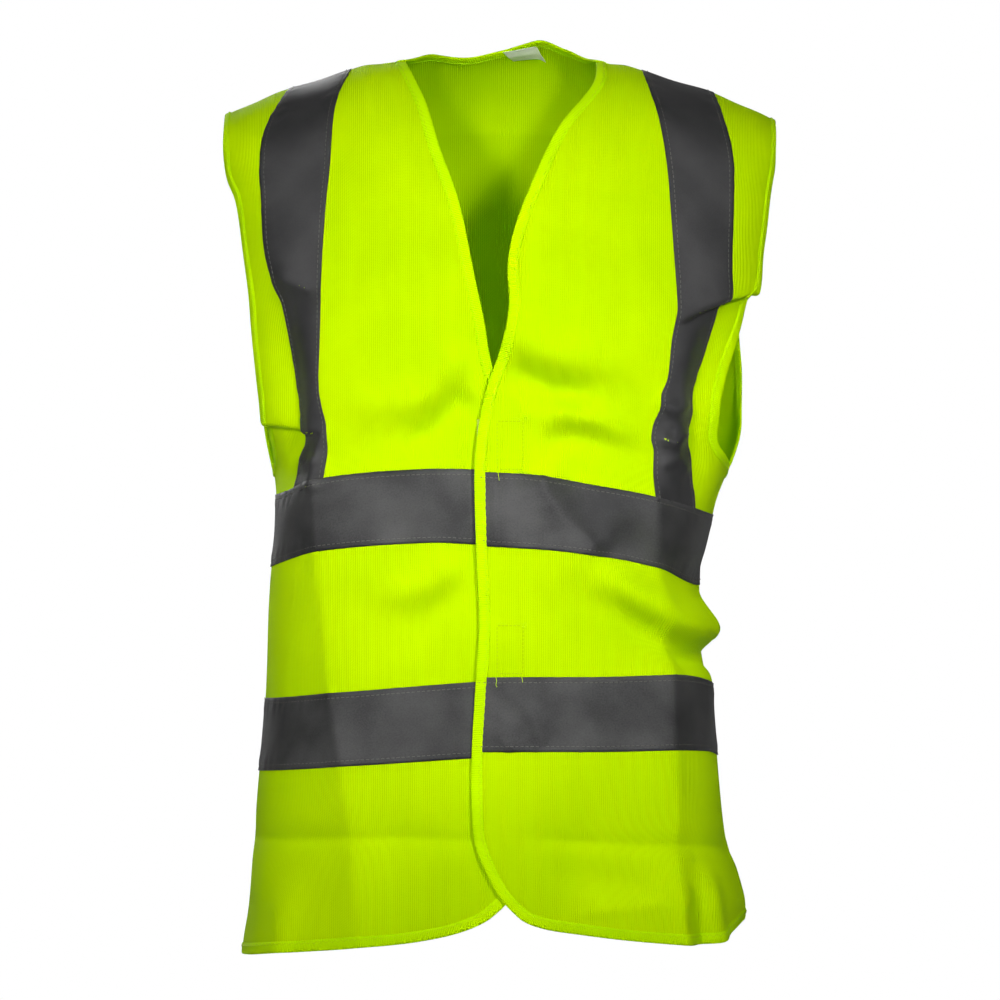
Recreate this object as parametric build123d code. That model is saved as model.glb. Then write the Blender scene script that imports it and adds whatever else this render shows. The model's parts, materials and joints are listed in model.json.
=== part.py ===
from build123d import *

import math
import os
from functools import lru_cache

os.makedirs("parts", exist_ok=True)

# A sleeveless high visibility vest in its worn shape, closed at its hook and loop patches.
# Millimetres. The origin lies midway between the two neck points of the shoulder line,
# +Z is up, +X is the wearer's left and the front faces -Y.

# ---- driving dimensions ----
LENGTH = 598.0  # neck point to the lowest hem
TAPE_WIDTH = 50.0  # reflective tape
BINDING_WIDTH = 8.0  # knitted edge binding
FABRIC = 1.0  # knitted panel
OVER_RISE = 3.4  # how far the over front stands forward of the under front
FOLD_GAP = 0.4  # half the gap between a front's fixed and swinging halves
KNEE = 82.0  # how far out the shoulder line starts to fall
FALL = 0.45  # its slope past there
FAR = 230.0  # past every side of the vest
BELOW = -640.0  # below the vest

# The plan of the body from above the shoulders to below the hem, at even heights: half width, half depth
PLAN_TOP = 40.0
PLAN_STEP = 85.0
SECTIONS = [
    (190.0, 112.0),
    (190.0, 112.0),
    (181.0, 112.0),
    (166.0, 109.0),
    (147.0, 106.0),
    (142.5, 105.5),
    (151.0, 107.5),
    (160.0, 110.5),
    (167.0, 113.5),
]
PLAN_POWER = 2.8  # how square the plan is, 2 being an ellipse
PLAN_POINTS = 16

# The shoulder arch, seen from the side: half depth, rise and power of its front and of its back
ARCH_FRONT = (105.0, 170.0, 2.0)
ARCH_BACK = (102.0, 140.0, 3.0)
ARCH_SPREAD = 25.0  # how much deeper the arch is at its foot, clear of the plan

# The edge of each front from its neck point down to the hem, then round to the side
OVER_EDGE = [
    (66, 4), (43, -46), (24, -84), (14, -117), (5, -165), (-4, -215), (-12, -275), (-12, -375),
    (-15, -500), (-8, -540), (7, -565), (29, -580), (70, -587), (120, -591), (200, -592),
]
UNDER_EDGE = [
    (-66, 4), (-47, -34), (-36, -60), (-25, -96), (-14, -147), (-4, -205), (18, -243), (27, -300),
    (27, -400), (27, -500), (20, -540), (7, -566), (-20, -584), (-60, -591), (-120, -596), (-200, -598),
]
HEM_SIDES = (-598.0, -592.0)  # the hem's height at the wearer's right and left

# The fold line of each front: distance from the middle, height
FOLD_TOP = (26.0, -88.0)
FOLD_FOOT = (118.0, -598.0)

NECK_HALF = 66.0  # the back of the neck opening, in plan
NECK_BACK = 55.0

ARMHOLE_MIDDLE = -160.0
ARMHOLE_HALF_HEIGHT = 114.0
ARMHOLE_HALF_DEPTH = 56.0

# Bands: height of the top edge at the middle of the front, and how much lower it is at the sides
UPPER_BAND = (-276.0, 22.0)
LOWER_BAND = (-416.0, 8.0)
BAND_REACH = 150.0

BRACE_INNER = [(98, 40), (104, -20), (109, -55), (114, -131), (115, -175), (114, -226), (108, -300)]
BRACE_OUTER = [(143, 40), (152, -35), (158, -84), (155, -117), (147, -153), (139, -209), (132, -300)]
BRACE_END = -276.0  # under the upper band's top edge, at the brace

PATCH_WIDTH = 20.0
PATCH_HEIGHT = 34.0
LOOP_PLACES = {"upper": (11.5, -258.5), "lower": (11.5, -395.0)}
HOOK_PLACES = {"upper": (-2.0, -258.5), "lower": (7.0, -395.0)}

LABEL_SIZE = (26.0, 0.6, 16.0)
LABEL_TOP = (17.0, 52.0, -14.5)  # the middle of its sewn edge
SEAM_WIDTH = 8.0

# Layers, as distances outward from the panel's face
PANEL = (-FABRIC, 0.0)
TAPE = (0.15, 0.75)
BINDING = (-1.8, 0.9)
SEAM = (-2.3, -1.1)
HOOK = (0.1, 1.0)
LOOP = (-1.9, -1.1)


# ---- the body that the vest is shaped on ----
def power_curve(half_x, half_y, power, angle):
    """A point of the rounded oval with these half sizes."""
    c = math.cos(angle)
    s = math.sin(angle)
    x = math.copysign(abs(c) ** (2 / power), c) * half_x
    y = math.copysign(abs(s) ** (2 / power), s) * half_y
    return (x, y)


def plan_wire(height, half_width, half_depth, offset):
    points = []
    for i in range(PLAN_POINTS):
        angle = 2 * math.pi * (i + 0.5) / PLAN_POINTS
        x, y = power_curve(half_width + offset, half_depth + offset, PLAN_POWER, angle)
        points.append((x, y, height))
    return Wire([Spline(*points, periodic=True)])


def arch_side(half_depth, rise, power, offset):
    """One side of the shoulder arch as (depth, height), from beside its crest down to its foot."""
    points = []
    for i in range(1, 7):
        angle = math.radians(90 - 15 * i)
        y, z = power_curve(half_depth + offset, rise + offset, power, angle)
        points.append((y, z - rise))
    return points


def arch_face(offset):
    front = [(-y, z) for y, z in arch_side(*ARCH_FRONT, offset)]
    back = arch_side(*ARCH_BACK, offset)
    curve = Spline(*reversed(front), (0, offset), *back)
    foot = Polyline(
        back[-1], (back[-1][0] + ARCH_SPREAD, BELOW), (front[-1][0] - ARCH_SPREAD, BELOW), front[-1]
    )
    return make_face(Plane.YZ * (Curve() + [curve, foot]))


@lru_cache(maxsize=None)
def torso(offset):
    """The solid within a surface at this distance outward from the panels' face."""
    wires = []
    for i, (half_width, half_depth) in enumerate(SECTIONS):
        wires.append(plan_wire(PLAN_TOP - PLAN_STEP * i, half_width, half_depth, offset))
    plan = Solid.make_loft(wires)
    face = arch_face(offset)
    middle = extrude(face, amount=KNEE, both=True)
    reach = (FAR - KNEE) * math.hypot(1, FALL)
    side = extrude(Pos(KNEE, 0, 0) * face, amount=reach, dir=(1, 0, -FALL))
    return plan & (middle + side + mirror(side, about=Plane.YZ))


@lru_cache(maxsize=None)
def shell(layer):
    inner, outer = layer
    return torso(outer) - torso(inner)


# ---- regions, each a prism ----
def through_front(outline):
    return extrude(Plane.XZ * outline, amount=FAR)


def through_back(outline):
    return extrude(Plane.XZ * outline, amount=-FAR)


def region(*points):
    """A straight-sided face."""
    return make_face(Polyline(*points, close=True))


def edge_line(side, inset):
    """A front's edge, moved into the front by the inset. side is 1 for the over front, -1 for the under."""
    line = Spline(*(OVER_EDGE if side > 0 else UNDER_EDGE))
    if inset == 0:
        return line
    count = 2 * len(OVER_EDGE)
    moved = []
    for i in range(count + 1):
        place = line.position_at(i / count)
        along = line.tangent_at(i / count)
        moved.append((place.X - side * along.Y * inset, place.Y + side * along.X * inset))
    return Spline(*moved)


def front_outline(side, inset):
    """Everything on a front's own side of its edge."""
    line = edge_line(side, inset)
    foot = line @ 1
    top = line @ 0
    rest = Polyline(foot, (side * FAR, foot.Y), (side * FAR, 60), (top.X, 60), top)
    return make_face(Curve() + [line, rest])


def fold_half(side, part):
    """One side of a front's fold line: part is centre, side or both. Above the fold's top all is side."""
    slope = (FOLD_FOOT[0] - FOLD_TOP[0]) / (FOLD_FOOT[1] - FOLD_TOP[1])
    gap = -FOLD_GAP if part == "centre" else FOLD_GAP
    upper = FOLD_TOP[0] + slope * (60 - FOLD_TOP[1]) + gap
    lower = FOLD_TOP[0] + slope * (BELOW - FOLD_TOP[1]) + gap
    out = -FAR if part == "centre" else FAR
    return region((side * upper, 60), (side * out, 60), (side * out, BELOW), (side * lower, BELOW))


def band_outline(band):
    top, sag = band
    line = [(x, top - sag * (x / BAND_REACH) ** 2) for x in (-200, -150, -75, 0, 75, 150, 200)]
    upper = Spline(*line)
    lower = Spline(*[(x, z - TAPE_WIDTH) for x, z in line])
    return make_face(Curve() + [upper, lower, Line(upper @ 0, lower @ 0), Line(upper @ 1, lower @ 1)])


def back_band_outline(band):
    top = band[0] - band[1]
    return region((-FAR, top), (FAR, top), (FAR, top - TAPE_WIDTH), (-FAR, top - TAPE_WIDTH))


def brace_outline(side):
    inner = Spline(*[(side * x, z) for x, z in BRACE_INNER])
    outer = Spline(*[(side * x, z) for x, z in BRACE_OUTER])
    face = make_face(Curve() + [inner, outer, Line(inner @ 0, outer @ 0), Line(inner @ 1, outer @ 1)])
    return face & region((-FAR, 40), (FAR, 40), (FAR, BRACE_END), (-FAR, BRACE_END))


def armhole(side, margin):
    """The opening for an arm, widened by the margin."""
    oval = Pos(0, ARMHOLE_MIDDLE) * Ellipse(ARMHOLE_HALF_DEPTH + margin, ARMHOLE_HALF_HEIGHT + margin)
    return extrude(Plane.YZ * Pos(0, 0, side * 90) * oval, amount=side * (FAR - 90))


def back_neck(margin):
    oval = Ellipse(NECK_HALF + margin, NECK_BACK + margin) & Pos(0, 100) * Rectangle(400, 200)
    return extrude(Pos(0, 0, -80) * oval, amount=160)


def above_hem(low, high):
    """The back between two distances above its hem."""
    half = OVER_EDGE[-1][0]
    right, left = HEM_SIDES
    return region((-half, right + low), (half, left + low), (half, left + high), (-half, right + high))


# ---- pieces ----
def keep(name, shape):
    solids = [s for s in shape.solids() if s.volume > 1.0]
    result = solids[0] if len(solids) == 1 else Compound(children=solids)
    result.label = name
    export_step(result, f"parts/{name}.step")
    print(name, len(solids), round(sum(s.volume for s in solids)))


SIDES = {"left": 1, "right": -1}


def arm_cuts(margin):
    return [armhole(side, margin) for side in SIDES.values()]


def back_panel():
    cloth = shell(PANEL) & through_back(above_hem(BINDING_WIDTH, LENGTH + 60))
    keep("back_panel", cloth - arm_cuts(BINDING_WIDTH) - back_neck(BINDING_WIDTH))


def swing_out(side, part, shape):
    """The over front's centre stands forward of the under front."""
    if side > 0 and part == "centre":
        return Pos(0, -OVER_RISE, 0) * shape
    return shape


def front_panels(name, side):
    outline = front_outline(side, BINDING_WIDTH)
    for part in ("side", "centre"):
        cloth = shell(PANEL) & through_front(outline & fold_half(side, part))
        cloth = cloth - armhole(side, BINDING_WIDTH)
        keep(f"{name}_front_{part}_panel", swing_out(side, part, cloth))


def bands(level, band):
    for name, side in SIDES.items():
        outline = band_outline(band) & front_outline(side, BINDING_WIDTH)
        for part in ("side", "centre"):
            tape = shell(TAPE) & through_front(outline & fold_half(side, part))
            keep(f"{level}_band_{name}_{part}", swing_out(side, part, tape))
    keep(f"{level}_band_back", shell(TAPE) & through_back(back_band_outline(band)))


def braces():
    for name, side in SIDES.items():
        outline = brace_outline(side)
        under_band = through_front(outline - band_outline(UPPER_BAND))
        behind = through_back(outline - back_band_outline(UPPER_BAND))
        keep(f"{name}_brace_tape", shell(TAPE) & (under_band + behind))


def edge_strip(side):
    return front_outline(side, 0) - front_outline(side, BINDING_WIDTH)


def edge_bindings():
    high = region((-FAR, 60), (FAR, 60), (FAR, -200), (-FAR, -200))
    low = region((-FAR, -400), (FAR, -400), (FAR, BELOW), (-FAR, BELOW))
    ring = back_neck(BINDING_WIDTH) - back_neck(0)
    neck = shell(BINDING) & ring
    for name, side in SIDES.items():
        strip = edge_strip(side)
        fixed = strip & fold_half(side, "side")
        loose = shell(BINDING) & through_front(strip & fold_half(side, "centre"))
        keep(f"{name}_front_edge_binding", swing_out(side, "centre", loose))
        keep(f"{name}_hem_binding", shell(BINDING) & through_front(fixed & low))
        neck = neck + (shell(BINDING) & through_front(fixed & high))
    keep("neck_binding", neck)
    keep("back_hem_binding", shell(BINDING) & through_back(above_hem(0, BINDING_WIDTH)))


def armhole_bindings():
    for name, side in SIDES.items():
        ring = armhole(side, BINDING_WIDTH) - armhole(side, 0)
        keep(f"{name}_armhole_binding", shell(BINDING) & ring)


def patches():
    square = Rectangle(PATCH_WIDTH, PATCH_HEIGHT)
    for level, place in HOOK_PLACES.items():
        keep(f"{level}_hook_patch", shell(HOOK) & through_front(Pos(*place) * square))
    for level, place in LOOP_PLACES.items():
        loop = shell(LOOP) & through_front(Pos(*place) * square)
        keep(f"{level}_loop_patch", swing_out(1, "centre", loop))


def neck_label():
    x, y, z = LABEL_TOP
    keep("neck_label", Pos(x, y, z - LABEL_SIZE[2] / 2) * Box(*LABEL_SIZE))


def seams():
    """Overlocked seam allowances, inside the shoulders and down the sides."""
    for name, side in SIDES.items():
        over = Pos(side * 122, 0, 0) * Box(72, SEAM_WIDTH, 200)
        keep(f"{name}_shoulder_seam", shell(SEAM) & over)
        foot = -LENGTH + BINDING_WIDTH + 8
        head = ARMHOLE_MIDDLE - ARMHOLE_HALF_HEIGHT - BINDING_WIDTH - 2
        down = Pos(side * 140, 0, (foot + head) / 2) * Box(120, SEAM_WIDTH, head - foot)
        keep(f"{name}_side_seam", shell(SEAM) & down)


back_panel()
for front_name, front_side in SIDES.items():
    front_panels(front_name, front_side)
bands("upper", UPPER_BAND)
bands("lower", LOWER_BAND)
braces()
edge_bindings()
armhole_bindings()
patches()
neck_label()
seams()
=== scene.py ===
import json
import math

import bmesh
import bpy
import numpy as np
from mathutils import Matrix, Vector

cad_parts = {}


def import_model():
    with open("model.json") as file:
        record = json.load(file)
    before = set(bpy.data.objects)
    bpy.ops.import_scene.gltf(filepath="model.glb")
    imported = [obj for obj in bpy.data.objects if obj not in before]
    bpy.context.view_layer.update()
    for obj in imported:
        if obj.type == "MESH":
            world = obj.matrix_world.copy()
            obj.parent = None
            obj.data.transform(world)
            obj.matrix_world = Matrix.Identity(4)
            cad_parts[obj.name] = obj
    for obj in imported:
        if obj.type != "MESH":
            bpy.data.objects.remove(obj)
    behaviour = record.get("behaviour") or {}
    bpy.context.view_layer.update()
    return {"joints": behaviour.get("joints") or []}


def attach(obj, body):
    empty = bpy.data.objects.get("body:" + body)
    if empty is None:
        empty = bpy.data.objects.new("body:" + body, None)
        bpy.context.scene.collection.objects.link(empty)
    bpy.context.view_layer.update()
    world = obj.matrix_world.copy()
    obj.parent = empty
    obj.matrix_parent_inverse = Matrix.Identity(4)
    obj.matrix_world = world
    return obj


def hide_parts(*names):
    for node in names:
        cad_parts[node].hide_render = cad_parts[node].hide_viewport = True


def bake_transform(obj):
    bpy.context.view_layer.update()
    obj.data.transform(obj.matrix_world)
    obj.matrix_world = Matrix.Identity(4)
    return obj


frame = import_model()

# The high visibility vest as cloth, tape and thread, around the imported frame.
# All shapes are worked out in millimetres in the frame's axes: +Z up, +X the wearer's left,
# the front facing -Y, and the origin between the neck points. Meshes are made in metres.
# Cloth has its own coordinates: s across from the middle, t down from the shoulder line.

MM = 0.001
OVER, UNDER = 1, -1  # the wearer's left front laps over the right one
FRONT, BACK = -1, 1  # the sign of y

TAPE_WIDTH = 50.0
CLOTH_THICK = 0.5
TAPE_THICK = 0.3
CLOTH_STEP = 1.9  # size of a cloth mesh's faces
RIB = 0.0014  # the knit's rib, in metres
TINY = 1e-9


# ------------------------------------------------------------------ smooth lines
def smooth(points):
    """A smooth function through (place, value) points that doesn't overshoot them."""
    x, y = np.array(sorted(points), float).T
    step = np.diff(x)
    slope = np.diff(y) / step
    bend = np.zeros_like(y)
    same = slope[:-1] * slope[1:] > 0
    total = np.where(same, slope[:-1] + slope[1:], 1.0)
    bend[1:-1] = np.where(same, 2 * slope[:-1] * slope[1:] / total, 0.0)
    bend[0] = slope[0]
    bend[-1] = slope[-1]

    def value(at):
        at = np.clip(np.asarray(at, float), x[0], x[-1])
        i = np.clip(np.searchsorted(x, at) - 1, 0, len(x) - 2)
        h = step[i]
        u = (at - x[i]) / h
        a = (1 + 2 * u) * (1 - u) ** 2
        b = u * (1 - u) ** 2
        c = u * u * (3 - 2 * u)
        d = u * u * (u - 1)
        return a * y[i] + b * h * bend[i] + c * y[i + 1] + d * h * bend[i + 1]

    return value


def ease(u):
    """Rises smoothly from 0 to 1."""
    u = np.clip(u, 0.0, 1.0)
    return u * u * (3 - 2 * u)


def distances(line):
    """How far along the line each of its points is."""
    return np.concatenate([[0], np.cumsum(np.linalg.norm(np.diff(line, axis=0), axis=1))])


def read_at(at, run, values):
    """Rows of values read at places along a line."""
    return np.stack([np.interp(at, run, values[:, k]) for k in range(values.shape[1])], axis=1)


def unit(vectors):
    """The same vectors, one long."""
    return vectors / np.maximum(np.linalg.norm(vectors, axis=-1, keepdims=True), TINY)


def spaced(line, count):
    """The same line with its points evenly spaced."""
    line = np.asarray(line, float)
    long = distances(line)
    return read_at(np.linspace(0, long[-1], count), long, line)


def through(points, count=200):
    """A smooth line through the points, evenly spaced."""
    p = np.array(points, float)
    gap = np.sqrt(np.linalg.norm(np.diff(p, axis=0), axis=1))
    at = np.concatenate([[0], np.cumsum(gap)])
    slope = np.gradient(p, at, axis=0)
    fine = np.linspace(0, at[-1], 1200)
    i = np.clip(np.searchsorted(at, fine) - 1, 0, len(p) - 2)
    h = (at[i + 1] - at[i])[:, None]
    u = (fine - at[i])[:, None] / h
    line = (1 + 2 * u) * (1 - u) ** 2 * p[i] + u * (1 - u) ** 2 * h * slope[i]
    line += u * u * (3 - 2 * u) * p[i + 1] + u * u * (u - 1) * h * slope[i + 1]
    return spaced(line, count)


def length(line):
    """The whole length of a line."""
    return float(distances(line)[-1])


# ------------------------------------------------------------------ the worn shape
# Half widths by height, at the side seam and, above it, out to the armholes
LEFT_WIDTH = smooth([
    (40, 198), (-50, 196), (-86, 193), (-128, 187), (-158, 181), (-180, 176), (-209, 172), (-245, 166),
    (-275, 157), (-300, 147), (-345, 138), (-385, 138), (-420, 143), (-465, 148), (-515, 154),
    (-550, 162.5), (-570, 167), (-585, 165), (-640, 158),
])
RIGHT_WIDTH = smooth([
    (40, 192), (-50, 191), (-86, 186), (-120, 180), (-160, 174), (-200, 169), (-235, 163), (-262, 154),
    (-280, 149), (-310, 147), (-350, 149), (-428, 154), (-478, 159), (-520, 162), (-570, 166),
    (-600, 170), (-640, 170),
])
DEPTH = {
    FRONT: smooth([(40, 110), (-170, 108), (-240, 106), (-300, 103), (-370, 101), (-450, 103), (-520, 106),
                   (-600, 110), (-640, 111)]),
    BACK: smooth([(40, 108), (-110, 106), (-200, 104), (-300, 97), (-370, 94), (-440, 98), (-520, 105),
                  (-600, 110), (-640, 111)]),
}
PLAN_POWER = {FRONT: 3.0, BACK: 2.5}
SHOULDER_LINE = smooth([(0, 0), (60, 0), (85, -1), (100, -5), (120, -12), (145, -19), (163, -27), (182, -35),
                        (200, -46)])
# How far the back stands up behind the neck, by the distance across
NAPE = smooth([(-78, 0), (-60, 2), (-41, 12), (-19, 15.5), (3, 21), (28, 25), (47, 14), (64, 3), (78, 0)])
# The arch over the shoulder, from the side: half depth, drop and power of its rounded part
ARCH = {FRONT: (107.0, 165.0, 2.0), BACK: (104.0, 140.0, 2.7)}
ARCH_FLARE = 0.10  # how it widens below that
ARCH_BELOW = 600.0  # how far it goes on below that
MEET = 8.0  # how sharply the arch and the plan meet

TABLE_TOP, TABLE_FOOT, TABLE_STEP = 40.0, -660.0, 5.0
TABLE_SIDE = 200


def plan_table(face):
    """Across and out by height and by share of the way round to each side seam, and that way's length."""
    heights = np.arange(TABLE_TOP, TABLE_FOOT - 1, -TABLE_STEP)
    turn = np.linspace(-math.pi / 2, math.pi / 2, 4 * TABLE_SIDE + 1)
    share = np.linspace(-1, 1, 2 * TABLE_SIDE + 1)
    across, out, reach = [], [], []
    for z in heights:
        wide = np.where(turn < 0, RIGHT_WIDTH(z), LEFT_WIDTH(z))
        power = PLAN_POWER[face]
        radius = (np.abs(np.sin(turn)) / wide) ** power + (np.abs(np.cos(turn)) / DEPTH[face](z)) ** power
        radius = radius ** (-1 / power)
        x, y = radius * np.sin(turn), radius * np.cos(turn)
        run = distances(np.stack([x, y], axis=1))
        run = run - np.interp(0, turn, run)
        place = np.where(share < 0, -share * run[0], share * run[-1])
        across.append(np.interp(place, run, x))
        out.append(np.interp(place, run, y))
        reach.append((-run[0], run[-1]))
    return heights, np.array(across), np.array(out), np.array(reach)


PLAN = {face: plan_table(face) for face in (FRONT, BACK)}


def arch_table(face):
    """How far out and how far down the shoulder arch is, by the distance along it."""
    depth, drop, power = ARCH[face]
    turn = np.linspace(0, math.pi / 2, 400)
    out = depth * np.sin(turn) ** (2 / power)
    down = drop * np.cos(turn) ** (2 / power) - drop
    out = np.append(out, depth + ARCH_FLARE * ARCH_BELOW)
    down = np.append(down, -drop - ARCH_BELOW)
    return distances(np.stack([out, down], axis=1)), out, down


ARCHES = {face: arch_table(face) for face in (FRONT, BACK)}


def reach(face, s, z):
    """The distance round to the side seam that s points to."""
    heights, _, _, ways = PLAN[face]
    left = np.interp(-z, -heights, ways[:, 1])
    right = np.interp(-z, -heights, ways[:, 0])
    return np.where(np.asarray(s) < 0, right, left)


def plan_point(face, s, z):
    """Across and out, round the plan's outline at a height."""
    heights, across, out, _ = PLAN[face]
    row = np.clip((TABLE_TOP - z) / TABLE_STEP, 0, len(heights) - 1.001)
    col = np.clip((s / reach(face, s, z) + 1) * TABLE_SIDE, 0, 2 * TABLE_SIDE - 0.001)
    i, j = row.astype(int), col.astype(int)
    u, v = row - i, col - j
    picked = []
    for table in (across, out):
        top = table[i, j] * (1 - v) + table[i, j + 1] * v
        foot = table[i + 1, j] * (1 - v) + table[i + 1, j + 1] * v
        picked.append(top * (1 - u) + foot * u)
    return picked


def ridge(face, x):
    """The height of the shoulder line, which the nape lifts on the back."""
    line = SHOULDER_LINE(np.abs(x))
    if face == BACK:
        line = line + NAPE(x)
    return line


def bare(face, s, t):
    """The smooth worn shape, without folds."""
    run, arch_out, arch_down = ARCHES[face]
    s, t = np.broadcast_arrays(np.asarray(s, float), np.asarray(t, float))
    out = np.interp(t, run, arch_out)
    down = np.interp(t, run, arch_down)
    z = down.copy()
    for _ in range(4):
        x, depth = plan_point(face, s, z)
        z = down + ridge(face, x)
    y = (np.maximum(out, 1e-6) ** -MEET + np.maximum(depth, 1e-6) ** -MEET) ** (-1 / MEET)
    return np.stack([x, face * y, z], axis=-1)


def t_at(face, x, z):
    """How far down the cloth a height is."""
    run, _, down = ARCHES[face]
    return np.interp(ridge(face, x) - z, -down, run)


def outline(face, z):
    """The plan's outline at a height, as its points' places across and out."""
    heights, across, out, _ = PLAN[face]
    row = np.clip((TABLE_TOP - z) / TABLE_STEP, 0, len(heights) - 1.001)
    i = int(row)
    return [table[i] * (1 - row + i) + table[i + 1] * (row - i) for table in (across, out)]


def at_x(face, x, z):
    """Cloth coordinates of a point by its place across and its height."""
    line, _ = outline(face, z)
    share = np.interp(x, line, np.linspace(-1, 1, len(line)))
    return (float(share * reach(face, share, z)), float(t_at(face, x, z)))


def at_y(face, side, y, z):
    """Cloth coordinates of a point near a side by how far forward or back it is, and its height."""
    wide, depth = outline(face, z)
    half = slice(TABLE_SIDE, None) if side > 0 else slice(TABLE_SIDE, None, -1)
    shares = np.linspace(0, 1, TABLE_SIDE + 1)
    share = np.interp(-abs(y), -depth[half], shares)
    x = np.interp(share, shares, wide[half])
    return (float(side * share * reach(face, side, z)), float(t_at(face, x, z)))


def seam_x(side, z):
    """How far across a side seam is."""
    return side * float(LEFT_WIDTH(z) if side > 0 else RIGHT_WIDTH(z))


def seam_at(face, side, z):
    """Cloth coordinates on a side seam."""
    return (float(side * reach(face, side, z)), float(t_at(face, seam_x(side, z), z)))


# ------------------------------------------------------------------ folds and creases
def beside(line, x, z):
    """Distance from a line of straight runs, positive to its left, and the share of the way along it."""
    p = np.array(line, float)
    runs = np.linalg.norm(np.diff(p, axis=0), axis=1)
    starts = np.concatenate([[0], np.cumsum(runs)])
    best = np.full(np.shape(x), 1e9)
    side = np.ones(np.shape(x))
    share = np.zeros(np.shape(x))
    for (ax, az), (bx, bz), run, start in zip(p[:-1], p[1:], runs, starts[:-1]):
        dx, dz = (bx - ax) / run, (bz - az) / run
        along = np.clip((x - ax) * dx + (z - az) * dz, 0, run)
        away = np.hypot(x - ax - along * dx, z - az - along * dz)
        nearer = away < best
        best = np.where(nearer, away, best)
        side = np.where(nearer, np.sign(dx * (z - az) - dz * (x - ax) + TINY), side)
        share = np.where(nearer, (start + along) / starts[-1], share)
    return best * side, share


def fade(share, first, last):
    """Rises from 0 over the first share of the way and falls to 0 over the last."""
    grow = ease(share / first) if first > 0 else 1.0
    fall = ease((1 - share) / last) if last > 0 else 1.0
    return grow * fall


def roll(x, z, line, height, width, first=0.3, last=0.3):
    """A soft round fold."""
    away, share = beside(line, x, z)
    return height * np.exp(-((away / width) ** 2)) * fade(share, first, last)


CREASE_TIP = 1.2  # how round a crease's edge is


def crease(x, z, line, height, width, first=0.2, last=0.2, right=None):
    """A sharp pressed fold. right is its width on the line's right, where that differs."""
    away, share = beside(line, x, z)
    falls = np.where(away > 0, width, right or width)
    peak = np.exp(-(np.sqrt(away**2 + CREASE_TIP**2) - CREASE_TIP) / falls)
    return height * peak * fade(share, first, last)


def ripple(a, b, seed, size, height, count=7):
    """Gentle unevenness, the same on every run."""
    rng = np.random.default_rng(seed)
    total = np.zeros(np.shape(a))
    for _ in range(count):
        turn = rng.uniform(0, 2 * math.pi)
        wave = 2 * math.pi / (size * rng.uniform(0.7, 1.6))
        phase = rng.uniform(0, 2 * math.pi)
        total += np.sin(wave * (math.cos(turn) * a + math.sin(turn) * b) + phase)
    return height * total / math.sqrt(count)


# Each fold's line down a face as (across, height), its height and width, and how soon it rises and falls.
# The first two creases in front are pressed in by packing, and fall away faster towards the sides.
CREASES = {
    FRONT: [
        ([(-118, -258), (-113, -329), (-106, -425), (-99, -474), (-87, -600)], 6.0, 70, 0.12, 0, 19),
        ([(104, -262), (104, -320), (109, -389), (112, -418), (116, -509), (119, -600)], 6.0, 19, 0.12, 0, 70),
        ([(-170, -523), (-60, -521), (10, -524)], -2.2, 8, 0.1, 0.2),
        ([(5, -520), (90, -526), (170, -529)], -2.2, 8, 0.2, 0.1),
        ([(-112, -158), (-135, -150), (-150, -143)], 2.4, 8, 0.3, 0.3),
        ([(104, -228), (120, -236), (137, -231)], 2.6, 6, 0.25, 0.25),
        ([(104, -250), (118, -258), (136, -249)], 2.6, 5, 0.25, 0.25),
        ([(104, -272), (122, -268), (134, -278)], 2.0, 5, 0.25, 0.25),
        ([(-138, -266), (-124, -272), (-110, -264)], 2.2, 6, 0.25, 0.25),
        ([(-111, -240), (-116, -262), (-119, -290)], 2.6, 5, 0.3, 0.1),
        ([(24, -272), (44, -306), (74, -334)], 3.0, 11, 0.2, 0.2, 30),
        ([(2, -282), (0, -302), (2.5, -326)], 0.7, 1.6, 0.1, 0.1),
        ([(2, -420), (22, -434), (34, -462)], 1.3, 7, 0.3, 0.3),
        ([(-2, -446), (6, -456), (12, -466)], 0.9, 3, 0.3, 0.3),
        ([(48, -418), (62, -440), (68, -464)], 0.8, 8, 0.3, 0.3),
        ([(-62, -420), (-78, -446), (-84, -470)], 0.8, 8, 0.3, 0.3),
        ([(-8, -480), (-16, -520), (-28, -560)], 1.0, 12, 0.3, 0.4),
        ([(44, -574), (78, -569), (114, -566)], 1.8, 7, 0.4, 0.1),
        ([(116, -552), (124, -560), (121, -572)], 1.4, 3, 0.3, 0.3),
        ([(118, -536), (130, -537)], 1.0, 2.5, 0.3, 0.3),
    ],
    BACK: [
        ([(2, -60), (0, -300), (3, -600)], -1.2, 20, 0.2, 0),
        ([(-104, -200), (-102, -400), (-98, -600)], 2.4, 20, 0.3, 0),
        ([(104, -200), (106, -400), (110, -600)], 2.4, 20, 0.3, 0),
        ([(-120, -47), (0, -44), (120, -47)], -1.5, 8, 0.2, 0.2),
        ([(-170, -523), (0, -520), (170, -525)], -1.2, 9, 0.1, 0.1),
    ],
}
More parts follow.
